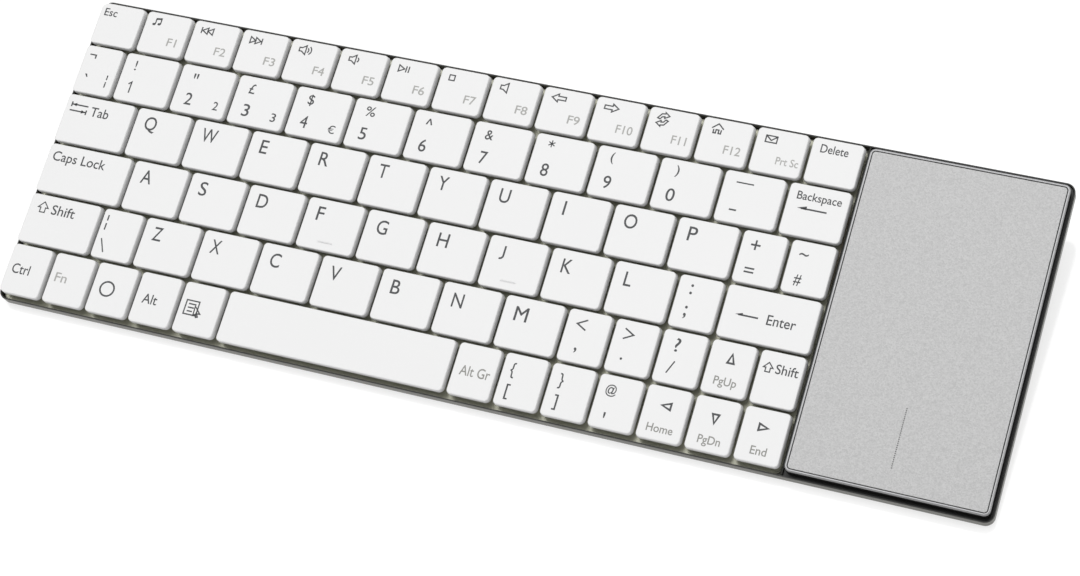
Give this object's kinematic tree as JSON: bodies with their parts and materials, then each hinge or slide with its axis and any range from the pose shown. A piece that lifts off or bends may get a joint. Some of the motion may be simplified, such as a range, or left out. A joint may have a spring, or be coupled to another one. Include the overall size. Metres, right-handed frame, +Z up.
{
  "type": "wireless keyboard with touchpad",
  "caption": "Slim wireless keyboard: white keycaps on a steel tray with a silver clicking touchpad at the right end and a battery tube under the back edge.",
  "frame": {"origin": "on the desk under the middle of the keyboard's overall box", "axes": "+X right along the key rows, +Y away from the typist, +Z up"},
  "size_m": [0.3006, 0.0984, 0.0209],
  "materials": {
    "key_white": "fine satin white plastic",
    "pan_steel": "brushed, clear lacquered",
    "frame_black": "piano black gloss",
    "divider_steel": "satin",
    "plate_steel": "zinc plated, dull",
    "membrane_film": "printed polyester film",
    "dome_rubber": "moulded silicone",
    "link_plastic": "natural acetal",
    "wire_steel": "bright spring wire",
    "trim_silver": "satin, bevelled",
    "touchpad_silver": "speckled silver paint, fine grain",
    "board_green": "solder mask",
    "switch_metal": "stamped cover",
    "wiring_film": "polyimide film and lead jackets",
    "tube_black": "fine texture",
    "cell_label": "plain sleeve",
    "contact_nickel": "nickel plated spring steel",
    "slider_grey": "ridged",
    "foot_rubber": "matt",
    "screw_steel": "zinc plated"
  },
  "bodies": {
    "base": {"base_pan": "pan_steel", "battery_cells": "cell_label", "battery_contacts": "contact_nickel", "battery_tube": "tube_black", "bay_divider": "divider_steel", "chassis_frame": "frame_black", "click_switches": "switch_metal", "inner_wiring": "wiring_film", "main_board": "board_green", "membrane_layers": "membrane_film", "pan_screws": "screw_steel", "rubber_domes": "dome_rubber", "rubber_feet": "foot_rubber", "scissor_links": "link_plastic", "support_plate": "plate_steel", "touchpad_bezel": "trim_silver", "tube_end_plug": "tube_black"},
    "touchpad": {"touchpad_plate": "touchpad_silver", "touchpad_sensor_board": "board_green"},
    "battery_cap": {"battery_cap": "tube_black"},
    "power_switch": {"power_switch_slider": "slider_grey"},
    "stabiliser_wire": {"space_bar_wire": "wire_steel"},
    "key_a": {"key_a": "key_white"},
    "key_b": {"key_b": "key_white"},
    "key_c": {"key_c": "key_white"},
    "key_d": {"key_d": "key_white"},
    "key_e": {"key_e": "key_white"},
    "key_f": {"key_f": "key_white"},
    "key_g": {"key_g": "key_white"},
    "key_h": {"key_h": "key_white"},
    "key_i": {"key_i": "key_white"},
    "key_j": {"key_j": "key_white"},
    "key_k": {"key_k": "key_white"},
    "key_l": {"key_l": "key_white"},
    "key_m": {"key_m": "key_white"},
    "key_n": {"key_n": "key_white"},
    "key_o": {"key_o": "key_white"},
    "key_p": {"key_p": "key_white"},
    "key_q": {"key_q": "key_white"},
    "key_r": {"key_r": "key_white"},
    "key_s": {"key_s": "key_white"},
    "key_t": {"key_t": "key_white"},
    "key_u": {"key_u": "key_white"},
    "key_v": {"key_v": "key_white"},
    "key_w": {"key_w": "key_white"},
    "key_x": {"key_x": "key_white"},
    "key_y": {"key_y": "key_white"},
    "key_z": {"key_z": "key_white"},
    "space_bar": {"space_bar": "key_white"},
    "enter_key": {"enter_key": "key_white"},
    "backspace_key": {"backspace_key": "key_white"},
    "tab_key": {"tab_key": "key_white"},
    "caps_lock_key": {"caps_lock_key": "key_white"},
    "left_shift_key": {"left_shift_key": "key_white"},
    "right_shift_key": {"right_shift_key": "key_white"},
    "function_keys": {"function_keys": "key_white"},
    "number_keys": {"number_keys": "key_white"},
    "symbol_keys": {"symbol_keys": "key_white"},
    "modifier_keys": {"modifier_keys": "key_white"},
    "arrow_keys": {"arrow_keys": "key_white"}
  },
  "joints": [
    {"name": "key_a_press", "type": "slide", "parent": "base", "child": "key_a", "axis": [0, 0.1509, -0.9885], "range_m": [0, 0.002], "stiffness_N_per_m": 250, "springref_m": -0.001, "deforming": ["rubber_domes", "scissor_links"]},
    {"name": "key_b_press", "type": "slide", "parent": "base", "child": "key_b", "axis": [0, 0.1509, -0.9885], "range_m": [0, 0.002], "stiffness_N_per_m": 250, "springref_m": -0.001},
    {"name": "key_c_press", "type": "slide", "parent": "base", "child": "key_c", "axis": [0, 0.1509, -0.9885], "range_m": [0, 0.002], "stiffness_N_per_m": 250, "springref_m": -0.001},
    {"name": "key_d_press", "type": "slide", "parent": "base", "child": "key_d", "axis": [0, 0.1509, -0.9885], "range_m": [0, 0.002], "stiffness_N_per_m": 250, "springref_m": -0.001},
    {"name": "key_e_press", "type": "slide", "parent": "base", "child": "key_e", "axis": [0, 0.1509, -0.9885], "range_m": [0, 0.002], "stiffness_N_per_m": 250, "springref_m": -0.001},
    {"name": "key_f_press", "type": "slide", "parent": "base", "child": "key_f", "axis": [0, 0.1509, -0.9885], "range_m": [0, 0.002], "stiffness_N_per_m": 250, "springref_m": -0.001},
    {"name": "key_g_press", "type": "slide", "parent": "base", "child": "key_g", "axis": [0, 0.1509, -0.9885], "range_m": [0, 0.002], "stiffness_N_per_m": 250, "springref_m": -0.001},
    {"name": "key_h_press", "type": "slide", "parent": "base", "child": "key_h", "axis": [0, 0.1509, -0.9885], "range_m": [0, 0.002], "stiffness_N_per_m": 250, "springref_m": -0.001},
    {"name": "key_i_press", "type": "slide", "parent": "base", "child": "key_i", "axis": [0, 0.1509, -0.9885], "range_m": [0, 0.002], "stiffness_N_per_m": 250, "springref_m": -0.001},
    {"name": "key_j_press", "type": "slide", "parent": "base", "child": "key_j", "axis": [0, 0.1509, -0.9885], "range_m": [0, 0.002], "stiffness_N_per_m": 250, "springref_m": -0.001},
    {"name": "key_k_press", "type": "slide", "parent": "base", "child": "key_k", "axis": [0, 0.1509, -0.9885], "range_m": [0, 0.002], "stiffness_N_per_m": 250, "springref_m": -0.001},
    {"name": "key_l_press", "type": "slide", "parent": "base", "child": "key_l", "axis": [0, 0.1509, -0.9885], "range_m": [0, 0.002], "stiffness_N_per_m": 250, "springref_m": -0.001},
    {"name": "key_m_press", "type": "slide", "parent": "base", "child": "key_m", "axis": [0, 0.1509, -0.9885], "range_m": [0, 0.002], "stiffness_N_per_m": 250, "springref_m": -0.001},
    {"name": "key_n_press", "type": "slide", "parent": "base", "child": "key_n", "axis": [0, 0.1509, -0.9885], "range_m": [0, 0.002], "stiffness_N_per_m": 250, "springref_m": -0.001},
    {"name": "key_o_press", "type": "slide", "parent": "base", "child": "key_o", "axis": [0, 0.1509, -0.9885], "range_m": [0, 0.002], "stiffness_N_per_m": 250, "springref_m": -0.001},
    {"name": "key_p_press", "type": "slide", "parent": "base", "child": "key_p", "axis": [0, 0.1509, -0.9885], "range_m": [0, 0.002], "stiffness_N_per_m": 250, "springref_m": -0.001},
    {"name": "key_q_press", "type": "slide", "parent": "base", "child": "key_q", "axis": [0, 0.1509, -0.9885], "range_m": [0, 0.002], "stiffness_N_per_m": 250, "springref_m": -0.001},
    {"name": "key_r_press", "type": "slide", "parent": "base", "child": "key_r", "axis": [0, 0.1509, -0.9885], "range_m": [0, 0.002], "stiffness_N_per_m": 250, "springref_m": -0.001},
    {"name": "key_s_press", "type": "slide", "parent": "base", "child": "key_s", "axis": [0, 0.1509, -0.9885], "range_m": [0, 0.002], "stiffness_N_per_m": 250, "springref_m": -0.001},
    {"name": "key_t_press", "type": "slide", "parent": "base", "child": "key_t", "axis": [0, 0.1509, -0.9885], "range_m": [0, 0.002], "stiffness_N_per_m": 250, "springref_m": -0.001},
    {"name": "key_u_press", "type": "slide", "parent": "base", "child": "key_u", "axis": [0, 0.1509, -0.9885], "range_m": [0, 0.002], "stiffness_N_per_m": 250, "springref_m": -0.001},
    {"name": "key_v_press", "type": "slide", "parent": "base", "child": "key_v", "axis": [0, 0.1509, -0.9885], "range_m": [0, 0.002], "stiffness_N_per_m": 250, "springref_m": -0.001},
    {"name": "key_w_press", "type": "slide", "parent": "base", "child": "key_w", "axis": [0, 0.1509, -0.9885], "range_m": [0, 0.002], "stiffness_N_per_m": 250, "springref_m": -0.001},
    {"name": "key_x_press", "type": "slide", "parent": "base", "child": "key_x", "axis": [0, 0.1509, -0.9885], "range_m": [0, 0.002], "stiffness_N_per_m": 250, "springref_m": -0.001},
    {"name": "key_y_press", "type": "slide", "parent": "base", "child": "key_y", "axis": [0, 0.1509, -0.9885], "range_m": [0, 0.002], "stiffness_N_per_m": 250, "springref_m": -0.001},
    {"name": "key_z_press", "type": "slide", "parent": "base", "child": "key_z", "axis": [0, 0.1509, -0.9885], "range_m": [0, 0.002], "stiffness_N_per_m": 250, "springref_m": -0.001},
    {"name": "space_bar_press", "type": "slide", "parent": "base", "child": "space_bar", "axis": [0, 0.1509, -0.9885], "range_m": [0, 0.002], "stiffness_N_per_m": 250, "springref_m": -0.001},
    {"name": "enter_key_press", "type": "slide", "parent": "base", "child": "enter_key", "axis": [0, 0.1509, -0.9885], "range_m": [0, 0.002], "stiffness_N_per_m": 250, "springref_m": -0.001},
    {"name": "backspace_key_press", "type": "slide", "parent": "base", "child": "backspace_key", "axis": [0, 0.1509, -0.9885], "range_m": [0, 0.002], "stiffness_N_per_m": 250, "springref_m": -0.001},
    {"name": "tab_key_press", "type": "slide", "parent": "base", "child": "tab_key", "axis": [0, 0.1509, -0.9885], "range_m": [0, 0.002], "stiffness_N_per_m": 250, "springref_m": -0.001},
    {"name": "caps_lock_key_press", "type": "slide", "parent": "base", "child": "caps_lock_key", "axis": [0, 0.1509, -0.9885], "range_m": [0, 0.002], "stiffness_N_per_m": 250, "springref_m": -0.001},
    {"name": "left_shift_key_press", "type": "slide", "parent": "base", "child": "left_shift_key", "axis": [0, 0.1509, -0.9885], "range_m": [0, 0.002], "stiffness_N_per_m": 250, "springref_m": -0.001},
    {"name": "right_shift_key_press", "type": "slide", "parent": "base", "child": "right_shift_key", "axis": [0, 0.1509, -0.9885], "range_m": [0, 0.002], "stiffness_N_per_m": 250, "springref_m": -0.001},
    {"name": "function_keys_press", "type": "slide", "parent": "base", "child": "function_keys", "axis": [0, 0.1509, -0.9885], "range_m": [0, 0.002], "stiffness_N_per_m": 250, "springref_m": -0.001},
    {"name": "number_keys_press", "type": "slide", "parent": "base", "child": "number_keys", "axis": [0, 0.1509, -0.9885], "range_m": [0, 0.002], "stiffness_N_per_m": 250, "springref_m": -0.001},
    {"name": "symbol_keys_press", "type": "slide", "parent": "base", "child": "symbol_keys", "axis": [0, 0.1509, -0.9885], "range_m": [0, 0.002], "stiffness_N_per_m": 250, "springref_m": -0.001},
    {"name": "modifier_keys_press", "type": "slide", "parent": "base", "child": "modifier_keys", "axis": [0, 0.1509, -0.9885], "range_m": [0, 0.002], "stiffness_N_per_m": 250, "springref_m": -0.001},
    {"name": "arrow_keys_press", "type": "slide", "parent": "base", "child": "arrow_keys", "axis": [0, 0.1509, -0.9885], "range_m": [0, 0.002], "stiffness_N_per_m": 250, "springref_m": -0.001},
    {"name": "touchpad_click", "type": "hinge", "parent": "base", "child": "touchpad", "pos_m": [0.12094, 0.04519, 0.01949], "axis": [1, 0, 0], "range_deg": [0, 0.2449], "stiffness_Nm_per_rad": 10, "springref_deg": -0.23},
    {"name": "battery_cap_pull", "type": "slide", "parent": "base", "child": "battery_cap", "axis": [-1, 0, 0], "range_m": [0, 0.012]},
    {"name": "power_switch_slide", "type": "slide", "parent": "base", "child": "power_switch", "axis": [0, 0.9885, 0.1509], "range_m": [0, 0.003]},
    {"name": "stabiliser_turn", "type": "hinge", "parent": "base", "child": "stabiliser_wire", "pos_m": [-0.04272, -0.03975, 0.00344], "axis": [1, 0, 0], "range_deg": [0, 18.36]}
  ],
  "couplings": [
    {"joint": "stabiliser_turn", "follows": "space_bar_press", "rad_per_m": 160.23}
  ]
}
